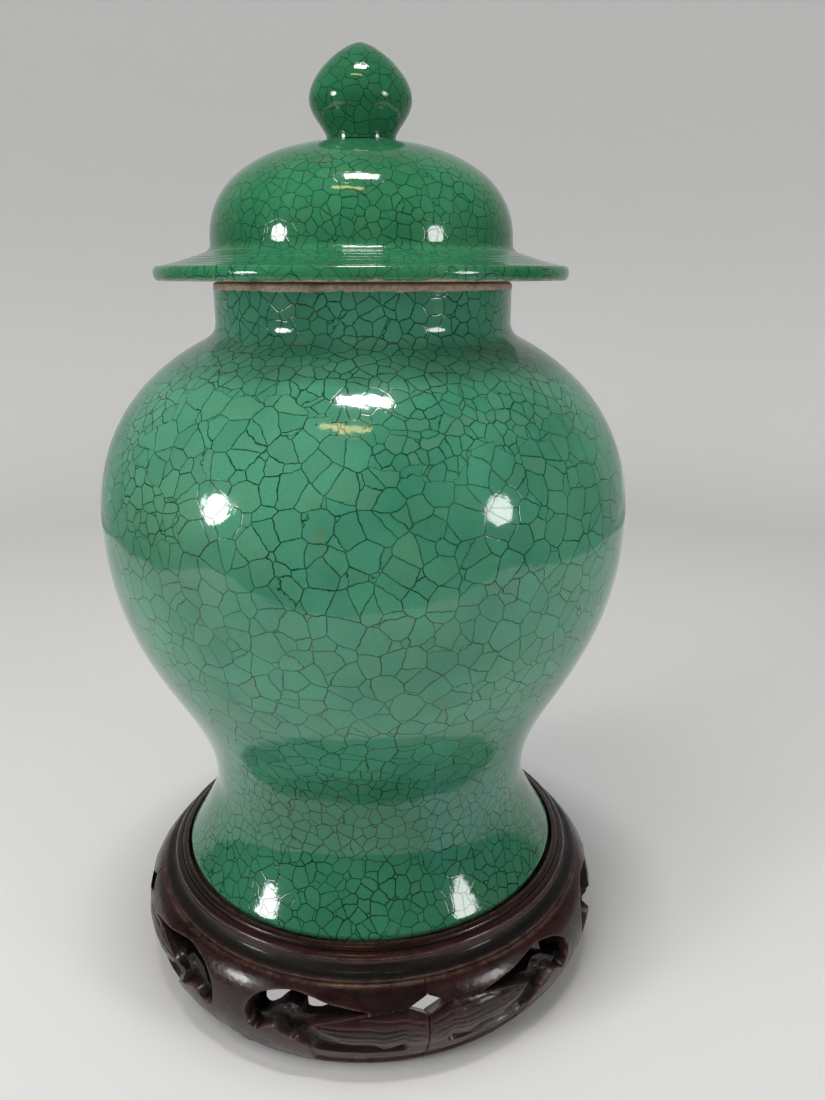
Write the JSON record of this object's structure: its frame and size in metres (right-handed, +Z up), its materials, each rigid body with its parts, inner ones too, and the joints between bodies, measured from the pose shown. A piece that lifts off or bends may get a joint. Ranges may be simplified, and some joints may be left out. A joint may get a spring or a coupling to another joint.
{
  "type": "ginger jar",
  "caption": "Lidded baluster ginger jar in green crackle glaze, with a domed, flanged lid and bud finial, that stands in the recess of a carved round wooden stand; lid and jar lift off.",
  "frame": {"origin": "on the floor, on the axis of the jar and stand, at the bottom centre of the bounding box", "axes": "+Z up along the axis of the jar; the stand's four glued seams lie on the X and Y axes and its legs on the diagonals"},
  "size_m": [0.17, 0.17, 0.3],
  "materials": {
    "glaze": "glossy green glaze with a fine dark crackle over the whole surface; bare iron-stained stoneware at the mouth and under the lid",
    "rosewood": "dark reddish-brown stained and lacquered hardwood, satin, olive-brown and rougher in the carved hollows, worn lighter on the edges",
    "plain_wood": "thinly stained, unpolished wood on the hidden pieces"
  },
  "bodies": {
    "stand": {"stand_rim": "rosewood", "stand_segment_1": "rosewood", "stand_segment_2": "rosewood", "stand_segment_3": "rosewood", "stand_segment_4": "rosewood", "foot_pad_1": "rosewood", "foot_pad_2": "rosewood", "foot_pad_3": "rosewood", "foot_pad_4": "rosewood", "stand_panel": "plain_wood", "seam_dowel_1": "plain_wood", "seam_dowel_2": "plain_wood", "seam_dowel_3": "plain_wood", "seam_dowel_4": "plain_wood", "rim_dowel_1": "plain_wood", "rim_dowel_2": "plain_wood", "rim_dowel_3": "plain_wood", "rim_dowel_4": "plain_wood"},
    "jar": {"jar_body": "glaze"},
    "lid": {"lid": "glaze", "lid_finial": "glaze"}
  },
  "joints": [
    {"name": "jar_lift", "type": "slide", "parent": "stand", "child": "jar", "axis": [0, 0, 1], "range_m": [0, 0.06]},
    {"name": "lid_lift", "type": "slide", "parent": "jar", "child": "lid", "axis": [0, 0, 1], "range_m": [0, 0.08]}
  ]
}
